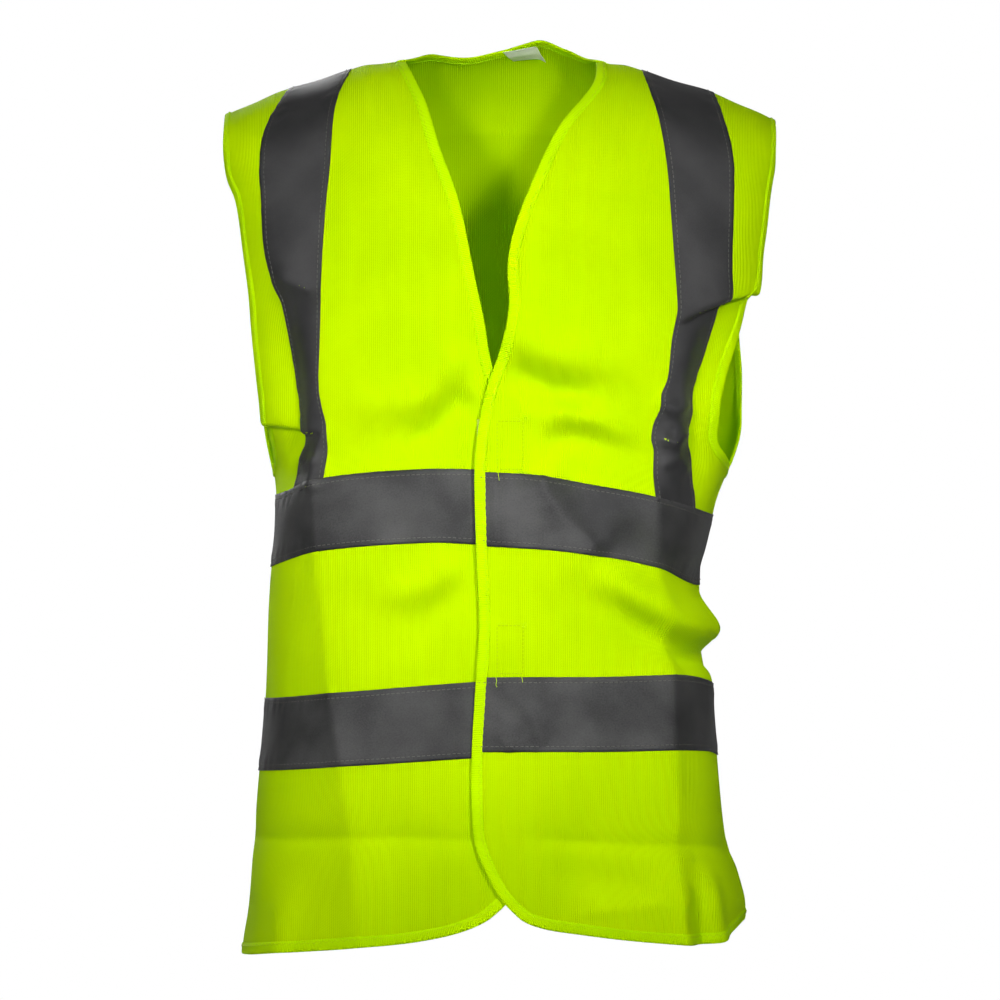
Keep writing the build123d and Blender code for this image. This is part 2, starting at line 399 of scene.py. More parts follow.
# Drapes from the closure, where the cloth is drawn in beside the braces and under the arms, and at the hem
ROLLS = {
    FRONT: [
        ([(-150, -125), (-143, -180), (-137, -245), (-138, -310)], -5, 12, 0.5, 0.3),
        ([(157, -150), (148, -190), (137, -236), (134, -300)], -5, 12, 0.4, 0.3),
        ([(38, -330), (80, -352), (112, -376), (148, -386)], 4.8, 13, 0.5, 0),
        ([(60, -352), (95, -380), (122, -398), (150, -402)], -4.4, 9, 0.5, 0),
        ([(70, -300), (100, -340), (146, -356)], -3.0, 16, 0.4, 0.1),
        ([(20, -246), (45, -237), (72, -243), (104, -262)], 3.6, 8, 0.3, 0.4),
        ([(24, -262), (52, -254), (84, -264)], -1.6, 7, 0.3, 0.4),
        ([(46, -262), (62, -300), (64, -330)], -2.0, 12, 0.3, 0.3),
        ([(2, -176), (30, -196), (70, -206), (100, -204)], 4.2, 13, 0.2, 0.5),
        ([(6, -205), (36, -222), (76, -228)], -3.6, 10, 0.2, 0.5),
        ([(16, -130), (52, -150), (96, -152)], -1.8, 18, 0.3, 0.4),
        ([(-16, -190), (-50, -226), (-104, -240)], 3.6, 13, 0.2, 0.4),
        ([(-14, -222), (-44, -252), (-70, -262)], -3.2, 10, 0.2, 0.4),
        ([(-24, -120), (-60, -150), (-104, -156)], -1.6, 18, 0.3, 0.4),
        ([(-18, -328), (-46, -352), (-88, -366)], 3.2, 11, 0.3, 0.4),
        ([(-20, -352), (-50, -382), (-60, -410)], -1.6, 10, 0.3, 0.4),
        ([(26, -536), (60, -548), (108, -556)], -2.4, 12, 0.4, 0.2),
        ([(110, -540), (118, -565), (122, -600)], 2.6, 6, 0.5, 0),
        ([(132, -530), (141, -562), (146, -600)], 3.2, 7, 0.5, 0),
        ([(126, -540), (133, -565), (136, -600)], -2.2, 5, 0.5, 0),
        ([(-60, -480), (-66, -540), (-60, -610)], -1.6, 22, 0.4, 0),
        ([(52, -470), (60, -540), (52, -610)], -2.0, 24, 0.4, 0),
        ([(-132, -540), (-140, -570), (-142, -610)], 2.2, 9, 0.5, 0),
    ],
    BACK: [
        ([(-90, -110), (-40, -150), (0, -160), (40, -150), (90, -110)], 3.0, 30, 0.4, 0.4),
        ([(-120, -350), (-50, -372), (10, -368)], 4.0, 14, 0.4, 0.4),
        ([(130, -345), (70, -366), (0, -395)], 4.0, 15, 0.4, 0.4),
        ([(-150, -392), (-80, -396), (-30, -380)], -3.5, 13, 0.2, 0.4),
        ([(-150, -270), (-110, -240), (-95, -170)], 3.0, 14, 0.2, 0.5),
        ([(150, -270), (112, -240), (97, -170)], 3.0, 14, 0.2, 0.5),
        ([(-45, -480), (-52, -540), (-50, -610)], 2.6, 20, 0.4, 0),
        ([(60, -480), (70, -540), (66, -610)], 2.6, 22, 0.4, 0),
    ],
}
FOLD_DEPTH = {FRONT: 2.1, BACK: 1.0}


def folds(face, x, z):
    """The height of all of a face's folds together."""
    high = np.zeros(np.shape(x))
    for line, *shape in CREASES[face]:
        high += crease(x, z, line, *shape)
    for line, *shape in ROLLS[face]:
        high += roll(x, z, line, *shape)
    return high * FOLD_DEPTH[face]


# Where cloth is folded over itself: the lip's line, how far it stands out and how far it hangs over
LAPS = {
    UNDER: ([(-110, -249), (-117, -250), (-133, -251), (-152, -245), (-166, -241)], 3.4, 2.6),
    OVER: ([(118, -180), (124, -177), (137, -169), (155, -161), (172, -156), (184, -155)], 4.4, 3.0),
}


# How sharp the lip is, and how far above and below it the cloth is lifted, tucked in and let down
LAP_LIP, LAP_ABOVE, LAP_BELOW, LAP_SLIP = 1.7, 16.0, 10.0, 14.0


def lap(side, x, z):
    """Out and down shifts of cloth folded over itself at a lip."""
    line, high, slip = LAPS[side]
    away, share = beside(line if side == OVER else line[::-1], x, z)
    grown = fade(share, 0.3, 0.0) if side == OVER else fade(share, 0.0, 0.3)
    upper = 0.5 + 0.5 * np.tanh(away / LAP_LIP)
    out = high * np.where(away > 0, np.exp(-away / LAP_ABOVE), 1) * upper
    out = out - 0.5 * high * np.where(away < 0, np.exp(away / LAP_BELOW), 1) * (1 - upper)
    down = slip * np.exp(-np.abs(away) / LAP_SLIP) * upper
    return out * grown, down * grown


OVER_LIFT = 4.6
LIFT_END, LIFT_WIDE = 95.0, 70.0  # where the lift has died away, and over how wide a stretch
LIFT_TOP, LIFT_LONG = 60.0, 60.0  # how far down it starts, and over how long a stretch it grows


def lift(face, side, x, z):
    """How far a front stands forward where the fronts overlap."""
    if face == BACK or side == UNDER:
        return 0.0
    return OVER_LIFT * ease((LIFT_END - x) / LIFT_WIDE) * ease((-z - LIFT_TOP) / LIFT_LONG)


# Folds die away this near the side seams and the shoulder line, and at the sides only below the armholes
CALM_SIDE, CALM_TOP, CALM_BELOW = 26.0, 40.0, -272.0


def raised(face, side, s, t, p):
    """The height of folds and unevenness over the bare shape, dying away at the seams."""
    x, z = p[..., 0], p[..., 2]
    seed = {(FRONT, OVER): 11, (FRONT, UNDER): 12}.get((face, side), 13)
    high = folds(face, x, z) + ripple(s, t, seed, 130, 1.0) + ripple(s, t, seed + 20, 48, 0.35)
    from_seam = ease((reach(face, s, z) - np.abs(s)) / CALM_SIDE)
    from_seam = np.where(z > CALM_BELOW, 1.0, from_seam)
    return high * from_seam * ease(t / CALM_TOP) + lift(face, side, x, z)


NEAR = 0.7  # a short step for reading a slope


def facing(face, shape, s, t):
    """The shape's point and the way it faces there, read with short steps towards the middle and down."""
    step = np.where(s > 0, -NEAR, NEAR)
    middle = shape(s, t)
    n = unit(face * np.cross(shape(s + step, t) - middle, shape(s, t + NEAR) - middle))
    return middle, n * np.sign(step)[..., None]


def surface(face, side, s, t):
    """The middle of the cloth."""
    s, t = np.broadcast_arrays(np.asarray(s, float), np.asarray(t, float))
    middle, n = facing(face, lambda a, b: bare(face, a, b), s, t)
    if face == FRONT and side:
        out, down = lap(side, middle[..., 0], middle[..., 2])
        fall = unit(bare(face, s, t + NEAR) - middle)
        shift = n * out[..., None] + fall * down[..., None]
        return middle + shift + n * raised(face, side, s, t, middle)[..., None]
    return middle + n * raised(face, side, s, t, middle)[..., None]


def place(face, side, s, t, out=0.0):
    """A point this far outside the middle of the cloth, and the way that faces outward there."""
    s, t = np.broadcast_arrays(np.asarray(s, float), np.asarray(t, float))
    middle, n = facing(face, lambda a, b: surface(face, side, a, b), s, t)
    out = np.broadcast_to(np.asarray(out, float), middle.shape[:-1])
    return middle + n * out[..., None], n


# ------------------------------------------------------------------ making meshes
def new_mesh(name, verts, faces, uv=None, material=None, closed=False):
    """An object from points in millimetres, smooth shaded. uv has one pair for each point, in metres."""
    mesh = bpy.data.meshes.new(name)
    mesh.from_pydata((np.asarray(verts).reshape(-1, 3) * MM).tolist(), [], faces)
    if closed:
        work = bmesh.new()
        work.from_mesh(mesh)
        bmesh.ops.recalc_face_normals(work, faces=work.faces)
        work.to_mesh(mesh)
        work.free()
    mesh.polygons.foreach_set("use_smooth", np.ones(len(mesh.polygons), bool))
    if uv is not None:
        layer = mesh.uv_layers.new(name="cloth")
        corner = np.empty(len(mesh.loops), np.int32)
        mesh.loops.foreach_get("vertex_index", corner)
        layer.data.foreach_set("uv", np.asarray(uv, np.float32).reshape(-1, 2)[corner].ravel())
    mesh.update()
    obj = bpy.data.objects.new(name, mesh)
    bpy.context.scene.collection.objects.link(obj)
    if material is not None:
        mesh.materials.append(material)
    return obj


def grid_faces(rows, cols, around=False, flip=False):
    """Quads over rows by cols points. around joins each row's last point to its first."""
    i, j = np.meshgrid(np.arange(rows - 1), np.arange(cols if around else cols - 1), indexing="ij")
    k = (j + 1) % cols
    quad = np.stack([i * cols + j, i * cols + k, (i + 1) * cols + k, (i + 1) * cols + j], axis=-1)
    if flip:
        quad = quad[..., ::-1]
    return quad.reshape(-1, 4).tolist()


def sleeve_faces(rows, cols, looped=False):
    """Quads round a sleeve, joined end to end or with a face over each end."""
    faces = grid_faces(rows, cols, around=True)
    last = (rows - 1) * cols
    if looped:
        return faces + [[last + j, last + (j + 1) % cols, (j + 1) % cols, j] for j in range(cols)]
    return [*faces, list(range(cols))[::-1], [last + j for j in range(cols)]]


def patch(top, foot, first, last):
    """Cloth coordinates filled in evenly between four edges that share their corners."""
    nu, nv = len(top), len(first)
    u = np.linspace(0, 1, nu)[None, :, None]
    v = np.linspace(0, 1, nv)[:, None, None]
    top, foot = top[None, :, :], foot[None, :, :]
    first, last = first[:, None, :], last[:, None, :]
    corners = (1 - u) * (1 - v) * top[:, :1] + u * (1 - v) * top[:, -1:]
    corners = corners + (1 - u) * v * foot[:, :1] + u * v * foot[:, -1:]
    return (1 - v) * top + v * foot + (1 - u) * first + u * last - corners


def solidify(obj, thick):
    """Gives a sheet its thickness, half to each side."""
    mod = obj.modifiers.new("thickness", "SOLIDIFY")
    mod.thickness = thick * MM
    mod.offset = 0
    mod.use_even_offset = False
    return obj


def cloth_piece(name, face, side, st, out, thick, material):
    """A sheet over a grid of cloth coordinates."""
    s, t = st[..., 0], st[..., 1]
    points, _ = place(face, side, s, t, out)
    faces = grid_faces(*s.shape, flip=face == FRONT)
    return solidify(new_mesh(name, points, faces, uv=st * MM, material=material), thick)


def sweep(name, points, outward, inward, profile, material):
    """A closed profile, as (inward, outward) pairs, carried along a line. uv runs along and across it."""
    profile = np.array(profile, float)
    ring = points[:, None, :] + inward[:, None, :] * profile[None, :, :1]
    ring = ring + outward[:, None, :] * profile[None, :, 1:]
    uv = np.empty((len(points), len(profile), 2))
    uv[..., 0] = distances(points)[:, None] * MM
    uv[..., 1] = profile[None, :, 0] * MM
    return new_mesh(name, ring, sleeve_faces(*ring.shape[:2]), uv=uv, material=material, closed=True)


def directions(points):
    """The way ahead at each of a line's points."""
    return unit(np.gradient(points, axis=0))


# ------------------------------------------------------------------ materials
def material(name):
    """A new node material: the tree, its Principled node and a shorthand that adds nodes."""
    mat = bpy.data.materials.new(name)
    mat.use_nodes = True
    tree = mat.node_tree
    shader = tree.nodes["Principled BSDF"]

    def add(kind, links=(), **settings):
        node = tree.nodes.new(kind)
        for key, value in settings.items():
            setattr(node, key, value)
        for socket, source in dict(links).items():
            target = node.inputs[socket]
            if isinstance(source, bpy.types.NodeSocket):
                tree.links.new(source, target)
            else:
                target.default_value = source
        return node

    return mat, tree, shader, add


def cloth_axes(add):
    """Across and down the cloth, in metres."""
    uv = add("ShaderNodeUVMap", uv_map="cloth")
    parts = add("ShaderNodeSeparateXYZ", {0: uv.outputs[0]})
    return uv.outputs[0], parts.outputs[0], parts.outputs[1]


def maths(add, operation, *sources):
    """A sum of sockets or numbers."""
    return add("ShaderNodeMath", dict(enumerate(sources)), operation=operation).outputs[0]


def noise(add, uv, scale, detail=2.0):
    """Random patches. A larger scale gives smaller ones."""
    return add("ShaderNodeTexNoise", {"Vector": uv, "Scale": scale, "Detail": detail}).outputs[0]


def rough_and_bumped(add, tree, shader, source, rough, height, strength, deep):
    """Links the roughness, as (place, value) stops over a source, and the bumps. Gives the bumped normal."""
    stops = [(place_, (value,) * 3) for place_, value in rough]
    tree.links.new(ramp(add, source, stops), shader.inputs["Roughness"])
    bumped = add("ShaderNodeBump", {"Height": height, "Strength": strength, "Distance": deep}).outputs[0]
    tree.links.new(bumped, shader.inputs["Normal"])
    return bumped


def wave(add, along, period):
    """A sine from -1 to 1 with this period in metres."""
    turned = maths(add, "MULTIPLY_ADD", along, 2 * math.pi / period, 0.0)
    return maths(add, "SINE", turned)


def ramp(add, source, stops):
    """A colour read from stops of (place, colour)."""
    node = add("ShaderNodeValToRGB", {0: source})
    band = node.color_ramp
    while len(band.elements) < len(stops):
        band.elements.new(0.5)
    for element, (place_, colour) in zip(band.elements, stops):
        element.position = place_
        element.color = (*colour, 1)
    return node.outputs[0]


def knit_material(name, dark, light, painted_glow, rib=RIB, course=0.0011, through_share=0.2, bump=0.6):
    """Bright warp knit: fine ribs down the cloth, small loops along them, light coming through and a faint
    painted glow.
    """
    mat, tree, shader, add = material(name)
    uv, across, down = cloth_axes(add)
    ribs = wave(add, across, rib)
    loops = wave(add, down, course)
    cells = maths(add, "MULTIPLY", ribs, loops)
    height = maths(add, "MULTIPLY_ADD", cells, 0.45, ribs)
    fuzz = noise(add, uv, 1400.0)
    height = maths(add, "MULTIPLY_ADD", fuzz, 0.8, height)
    tone = maths(add, "MULTIPLY_ADD", height, 0.13, noise(add, uv, 9.0))
    colour = ramp(add, tone, [(0.25, dark), (0.75, light)])
    tree.links.new(colour, shader.inputs["Base Color"])
    bumped = rough_and_bumped(add, tree, shader, fuzz, [(0.2, 0.62), (0.8, 0.85)], height, bump, 0.0004)
    shader.inputs["Specular IOR Level"].default_value = 0.25
    shader.inputs["Sheen Weight"].default_value = 0.15
    shader.inputs["Sheen Roughness"].default_value = 0.4
    shader.inputs["Sheen Tint"].default_value = (0.6, 1.0, 0.0, 1)
    shader.inputs["Specular Tint"].default_value = (0.7, 1.0, 0.0, 1)
    # A faint painted glow: the cloth gives out light of its own though it is no lamp.
    shader.inputs["Emission Color"].default_value = (*painted_glow, 1)
    shader.inputs["Emission Strength"].default_value = 0.05
    thin = add("ShaderNodeBsdfTranslucent", {"Color": colour, "Normal": bumped})
    mixed = add("ShaderNodeMixShader", {0: through_share, 1: shader.outputs[0], 2: thin.outputs[0]})
    tree.links.new(mixed.outputs[0], tree.nodes["Material Output"].inputs[0])
    return mat


def tape_material(name, dark, light):
    """Retroreflective tape: grey, with painted glints for its beads' glitter and a faint woven ground."""
    mat, tree, shader, add = material(name)
    uv, across, down = cloth_axes(add)
    beads = add("ShaderNodeTexVoronoi", {"Vector": uv, "Scale": 1500.0}).outputs["Distance"]
    grain = noise(add, uv, 900.0, 3.0)
    stain = noise(add, uv, 22.0, 5.0)
    woven = maths(add, "MULTIPLY", wave(add, down, 0.0009), wave(add, across, 0.0009))
    # The fine grain lifts the colour to bright specks: painted glints of the glass beads.
    tone = maths(add, "MULTIPLY_ADD", grain, 0.55, stain)
    tone = maths(add, "MULTIPLY_ADD", woven, 0.03, tone)
    tree.links.new(ramp(add, tone, [(0.6, dark), (0.98, light)]), shader.inputs["Base Color"])
    height = maths(add, "MULTIPLY_ADD", beads, 0.5, woven)
    rough_and_bumped(add, tree, shader, grain, [(0.3, 0.42), (0.7, 0.62)], height, 0.45, 0.0002)
    shader.inputs["Metallic"].default_value = 0.25
    shader.inputs["Specular IOR Level"].default_value = 0.5
    shader.inputs["Sheen Weight"].default_value = 0.05
    return mat


def thread_material(name, dark, light, twist=0.0006, painted_glow=0.0):
    """Spun thread, with its twist."""
    mat, tree, shader, add = material(name)
    uv, across, down = cloth_axes(add)
    strand = wave(add, maths(add, "ADD", across, down), twist)
    fuzz = noise(add, uv, 2500.0)
    tone = maths(add, "MULTIPLY_ADD", strand, 0.25, fuzz)
    tree.links.new(ramp(add, tone, [(0.2, dark), (0.8, light)]), shader.inputs["Base Color"])
    rough_and_bumped(add, tree, shader, fuzz, [(0.2, 0.5), (0.8, 0.75)], strand, 0.4, 0.0002)
    shader.inputs["Specular IOR Level"].default_value = 0.2
    # A faint painted glow: the thread gives out light of its own though it is no lamp.
    if painted_glow:
        shader.inputs["Emission Color"].default_value = (0.55, 1.0, 0.0, 1)
        shader.inputs["Emission Strength"].default_value = painted_glow
    return mat


def label_material():
    """Plain woven satin, off white."""
    mat, tree, shader, add = material("label_satin")
    uv, across, down = cloth_axes(add)
    woven = maths(add, "MULTIPLY_ADD", wave(add, across, 0.0007), 0.6, wave(add, down, 0.0005))
    soiled = noise(add, uv, 90.0, 3.0)
    tone = maths(add, "MULTIPLY_ADD", woven, 0.08, soiled)
    colour = ramp(add, tone, [(0.2, (0.62, 0.66, 0.5)), (0.8, (0.82, 0.85, 0.72))])
    tree.links.new(colour, shader.inputs["Base Color"])
    rough_and_bumped(add, tree, shader, soiled, [(0.2, 0.35), (0.8, 0.5)], woven, 0.3, 0.0002)
    return mat


KNIT = knit_material("knit_yellow", (0.46, 0.73, 0.0), (0.59, 0.85, 0.0), (0.5, 1.0, 0.0))
BINDING = knit_material("binding_yellow", (0.47, 0.84, 0.0), (0.66, 1.0, 0.0), (0.7, 1.0, 0.0),
                        rib=0.0012, course=0.0016, through_share=0.2, bump=0.6)
LOOPS = knit_material("loop_nylon", (0.42, 0.7, 0.02), (0.6, 0.9, 0.05), (0.5, 1.0, 0.0),
                      rib=0.0007, course=0.0009, through_share=0.1, bump=1.0)
BAND_TAPE = tape_material("reflective_tape", (0.013, 0.013, 0.0135), (0.060, 0.0595, 0.059))
# The braces' tape is the band tape made darker: painted shade, for the braces turned away from the lamps.
SHADED_BRACE_TAPE = tape_material("reflective_tape_brace_painted_shade", (0.014, 0.014, 0.0147), (0.036, 0.035, 0.036))
TAPE_THREAD = thread_material("tape_thread", (0.07, 0.07, 0.06), (0.15, 0.15, 0.13))
YELLOW_THREAD = thread_material("yellow_thread", (0.42, 0.72, 0.0), (0.64, 0.92, 0.0), painted_glow=0.03)
# The patches' thread is the yellow thread made darker and greener: painted shade in the stitches.
SHADED_PATCH_THREAD = thread_material("patch_thread_painted_shade", (0.34, 0.55, 0.0), (0.52, 0.76, 0.0))
HOOKS = thread_material("hook_nylon", (0.45, 0.66, 0.05), (0.7, 0.9, 0.15), twist=0.002)
LABEL = label_material()


# ------------------------------------------------------------------ outlines in cloth coordinates
EDGE = {
    OVER: [
        (67, -14), (43, -46), (25, -84), (13, -117), (9, -140), (10, -165), (4, -195), (-4, -218), (-10, -245),
        (-13, -275), (-12, -325), (-10, -375), (-13, -430), (-15, -470), (-15, -502), (-13, -524),
        (-6, -543), (4, -561),
    ],
    UNDER: [
        (-54, -14), (-47, -29), (-38, -58), (-25, -96), (-14, -147), (-8, -175), (-2, -208), (12, -236),
        (22, -268), (27, -310), (27, -400), (27, -500), (24, -525), (18, -545), (10, -561),
    ],
}
HEM = {
    OVER: [(10, -568), (19, -576), (32, -581), (57, -585), (99, -590), (134, -592), (148, -589), (157, -584)],
    UNDER: [(4, -568), (-6, -576), (-22, -583), (-48, -589), (-89, -594), (-129, -597), (-152, -599)],
}
NECK_POINT = {OVER: 69.0, UNDER: -61.0}
TIP = {OVER: 189.0, UNDER: -182.0}
HEM_SEAM = {OVER: -577.0, UNDER: -601.0}
BACK_HEM = smooth([(-1, -601), (-0.6, -589), (0, -566), (0.5, -570), (1, -577)])  # by share of the way round
# The armholes' front edges as (across, height), and their back edges as (distance behind the shoulder, height)
ARM_FRONT = {
    OVER: [(188, -68), (185.5, -84), (179.5, -126), (176.5, -146), (173, -156), (169.5, -163), (166, -177),
           (161.5, -194), (156.5, -214), (153, -229), (151.5, -244), (151.5, -258)],
    UNDER: [(-181.5, -60), (-179.5, -80), (-174.5, -94), (-169.5, -123), (-165, -153), (-163, -181),
            (-159.5, -214), (-157, -232), (-155, -246), (-152.5, -262)],
}
ARM_BACK = {
    OVER: [(44, -70), (52, -110), (52, -150), (46, -185), (36, -212), (24, -234), (10, -252)],
    UNDER: [(42, -70), (52, -112), (54, -155), (50, -195), (42, -228), (28, -252), (13, -268)],
}
ARMHOLE_FOOT = {OVER: -276.0, UNDER: -275.0}
BINDING_REACH = 6.7  # how far the binding covers the cloth
NECK_CURVE = [(-52, 26), (-38, 44), (-19, 54), (3, 57), (25, 54), (44, 44), (60, 26)]


def side_of(name):
    """Which side of the vest a name means."""
    return OVER if name == "left" else UNDER


def at_share(face, share, z):
    """Cloth coordinates at a share of the way round to a side seam."""
    s = float(share * reach(face, share, z))
    x, _ = plan_point(face, np.array(s), np.array(z))
    return (s, float(t_at(face, x, z)))


def drawn(face, points, count):
    """A smooth line through (across, height) points, in cloth coordinates."""
    line = through(points, 240)
    return spaced([at_x(face, x, z) for x, z in line], count)


def shoulder_point(face, x):
    """Cloth coordinates on the shoulder line."""
    return at_x(face, x, float(ridge(face, x)))


def front_edge(side):
    """From the neck point down the front edge to the hem's corner."""
    neck = NECK_POINT[side]
    return drawn(FRONT, [(neck, float(ridge(FRONT, neck))), *EDGE[side], HEM[side][0]], 500)


def front_hem(side):
    """From the front edge round the hem's corner to the side seam."""
    z = HEM_SEAM[side]
    return drawn(FRONT, [*HEM[side], (seam_x(side, z), z)], 300)


def armhole_edge(face, side):
    """From the shoulder's tip down to the side seam."""
    tip = shoulder_point(face, TIP[side])
    if face == FRONT:
        line = [at_x(face, x, z) for x, z in ARM_FRONT[side]]
    else:
        line = [at_y(face, side, y, z) for y, z in ARM_BACK[side]]
    return through([tip, *line, seam_at(face, side, ARMHOLE_FOOT[side])], 300)


def seam_line(face, side):
    """A side seam from the armhole down to the hem."""
    heights = np.linspace(ARMHOLE_FOOT[side], HEM_SEAM[side], 60)
    return np.array([seam_at(face, side, z) for z in heights])


def shoulder_line(face, side):
    """A shoulder seam from the neck out to the armhole."""
    xs = np.linspace(NECK_POINT[side], TIP[side], 30)
    return np.array([shoulder_point(face, x) for x in xs])


def neck_line():
    """Round the back of the neck, from the right neck point to the left one."""
    run, out, down = ARCHES[BACK]
    line = through([(NECK_POINT[UNDER], 0), *NECK_CURVE, (NECK_POINT[OVER], 0)], 240)
    points = []
    for x, y in line:
        t = float(np.interp(y, out, run))
        z = float(np.interp(t, run, down) + ridge(BACK, x))
        points.append((at_x(BACK, x, z)[0], t))
    return spaced(points, 200)


def back_hem():
    """From the right side seam to the left one."""
    share = np.linspace(-1, 1, 120)
    return spaced([at_share(BACK, a, b) for a, b in zip(share, BACK_HEM(share))], 300)


def front_grid(side):
    """The cloth coordinates of a whole front, from its edge to its side."""
    wide, long = int(205 / CLOTH_STEP), int(640 / CLOTH_STEP)
    edge = spaced(front_edge(side), long)
    outer = spaced(np.vstack([armhole_edge(FRONT, side), seam_line(FRONT, side)[1:]]), long)
    top = spaced(shoulder_line(FRONT, side), wide)
    foot = spaced(front_hem(side), wide)
    return patch(top, foot, edge, outer)


def back_grid():
    """The cloth coordinates of the whole back, from shoulders and neck to hem."""
    wide, neck, long = int(118 / CLOTH_STEP), int(170 / CLOTH_STEP), int(660 / CLOTH_STEP)
    right = spaced(shoulder_line(BACK, UNDER)[::-1], wide)
    left = spaced(shoulder_line(BACK, OVER), wide)
    top = np.vstack([right[:-1], spaced(neck_line(), neck), left[1:]])
    foot = spaced(back_hem(), len(top))
    first = spaced(np.vstack([armhole_edge(BACK, UNDER), seam_line(BACK, UNDER)[1:]]), long)
    last = spaced(np.vstack([armhole_edge(BACK, OVER), seam_line(BACK, OVER)[1:]]), long)
    return patch(top, foot, first, last)


def swing(piece, side):
    """Looks up the front's fold joint and bakes the piece's place into its mesh, without bending it."""
    name = "left_front" if side == OVER else "right_front"
    joint = next(j for j in frame["joints"] if j["child"] == name)
    across = unit(np.cross(joint["axis"], (0, 1, 0)))
    across = across if across[0] * side < 0 else -across
    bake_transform(piece)


def settle(piece, nodes, sewn=(), side=0):
    """Puts a piece and its stitches on the vest in place of CAD nodes, or, for a side's front, only bakes
    their places.
    """
    for each in (piece, *sewn):
        if side:
            swing(each, side)
        else:
            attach(each, "vest")
    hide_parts(*nodes)


# ------------------------------------------------------------------ panels
def front_panel(name):
    """A whole front in one cloth, from its edge to the side seam."""
    side = side_of(name)
    cloth = cloth_piece(f"{name}_front_cloth", FRONT, side, front_grid(side), 0, CLOTH_THICK, KNIT)
    settle(cloth, [f"{name}_front_side_panel", f"{name}_front_centre_panel"], side=side)


def back_panel():
    """The whole back in one cloth."""
    cloth = cloth_piece("back_cloth", BACK, 0, back_grid(), 0, CLOTH_THICK, KNIT)
    settle(cloth, ["back_panel"])


# ------------------------------------------------------------------ stitches and threads
def tube(points, radius, sides=6):
    """Vertices and faces of a thin tube along the points, closed at both ends."""
    points = np.asarray(points, float)
    ahead = directions(points)
    helper = np.where(np.abs(ahead[:, 2:]) < 0.8, (0.0, 0.0, 1.0), (1.0, 0.0, 0.0))
    first = unit(np.cross(ahead, helper))
    second = np.cross(ahead, first)
    turn = np.linspace(0, 2 * math.pi, sides, endpoint=False)
    ring = np.cos(turn)[None, :, None] * first[:, None, :] + np.sin(turn)[None, :, None] * second[:, None, :]
    verts = (points[:, None, :] + ring * radius).reshape(-1, 3)
    return verts, sleeve_faces(len(points), sides)


def joined(name, parts, material):
    """One mesh of many small ones. uv takes the place across and down in metres."""
    verts, faces, start = [], [], 0
    for part_verts, part_faces in parts:
        verts.append(part_verts)
        faces += [[start + k for k in face] for face in part_faces]
        start += len(part_verts)
    verts = np.vstack(verts)
    return new_mesh(name, verts, faces, uv=verts[:, [0, 2]] * MM, material=material, closed=True)


STITCH_THICK = 0.24  # half the thread's width
DIVE = 0.35  # how far a stitch's ends sink into the cloth


def dashes(points, normals, pitch=3.4, long=2.5):
    """Lockstitches along a line: each runs over the cloth and dives in at both ends."""
    run = distances(points)
    parts = []
    share = np.array([0, 0.15, 0.5, 0.85, 1.0])
    rise = np.array([-DIVE, 0.12, 0.22, 0.12, -DIVE])
    for begin in np.arange(0.4, run[-1] - long, pitch):
        at = begin + share * long
        p, n = read_at(at, run, points), read_at(at, run, normals)
        parts.append(tube(p + n * rise[:, None], STITCH_THICK, sides=5))
    return parts


def cloth_line(face, side, st, out):
    """Evenly spaced points and normals over the cloth along a line of cloth coordinates."""
    st = np.asarray(st, float)
    count = max(8, int(length(st) / 1.2))
    st = spaced(st, count)
    return place(face, side, st[:, 0], st[:, 1], out)


def curl(start, steps, radius=0.2):
    """A loose thread end through points given as offsets from its start."""
    points = np.vstack([[start], np.array(start) + np.cumsum(np.array(steps, float), axis=0)])
    return tube(through(points, 40), radius, sides=6)


# ------------------------------------------------------------------ reflective tape
UPPER, LOWER = "upper", "lower"
# Top and bottom edges across the fronts, from the front edge to the side, as (across, height)
BANDS = {
    (UPPER, OVER): ([(-11, -276.5), (28, -279), (60, -284.5), (103, -292), (131, -300)], -305.0,
                    [(-9, -326), (48, -330), (103, -340)], -353.0),
    (UPPER, UNDER): ([(25, -275), (-14, -275), (-51, -275), (-115, -281), (-143, -290.5)], -292.0,
                     [(25, -325), (-12, -325), (-44, -324), (-113, -330)], -341.0),
    (LOWER, OVER): ([(-12, -414), (60, -414), (131, -415)], -420.0,
                    [(-14, -464), (60, -464), (140, -465)], -468.0),
    (LOWER, UNDER): ([(25, -416), (-13, -417), (-106, -425)], -429.0,
                     [(25, -467), (-14, -468), (-99, -474)], -478.0),
}
TAPE_OUT = 0.5
TAPE_ROWS = 22  # points across a tape
SEAM_INSET = 3.7  # the stitching from a tape's edge
GATHER_HIGH, GATHER_WIDE = 0.5, 2.5  # how high the gathers stand, and how far from the stitches
GATHER_WAVES = (8.0, 11.5, 19.0)
GATHER_END = 12.0  # they die away this near a tape's ends


def band_edges(level, side):
    """A front band's top and bottom edges, from the front edge to the side seam."""
    top, top_seam, foot, foot_seam = BANDS[level, side]
    top = drawn(FRONT, [*top, (seam_x(side, top_seam), top_seam)], 200)
    foot = drawn(FRONT, [*foot, (seam_x(side, foot_seam), foot_seam)], 200)
    return top, foot


def strip(first, last, rows):
    """Cloth coordinates evenly between two edges."""
    u = np.linspace(0, 1, rows)[:, None, None]
    return (1 - u) * first[None] + u * last[None]


def tape_stitches(face, side, first, last):
    """The rows of stitches along both edges of a tape."""
    wide = TAPE_WIDTH
    parts = []
    for share in (SEAM_INSET / wide, 1 - SEAM_INSET / wide):
        line = first * (1 - share) + last * share
        points, normals = cloth_line(face, side, line, TAPE_OUT + TAPE_THICK / 2)
        parts += dashes(points, normals)
    return parts


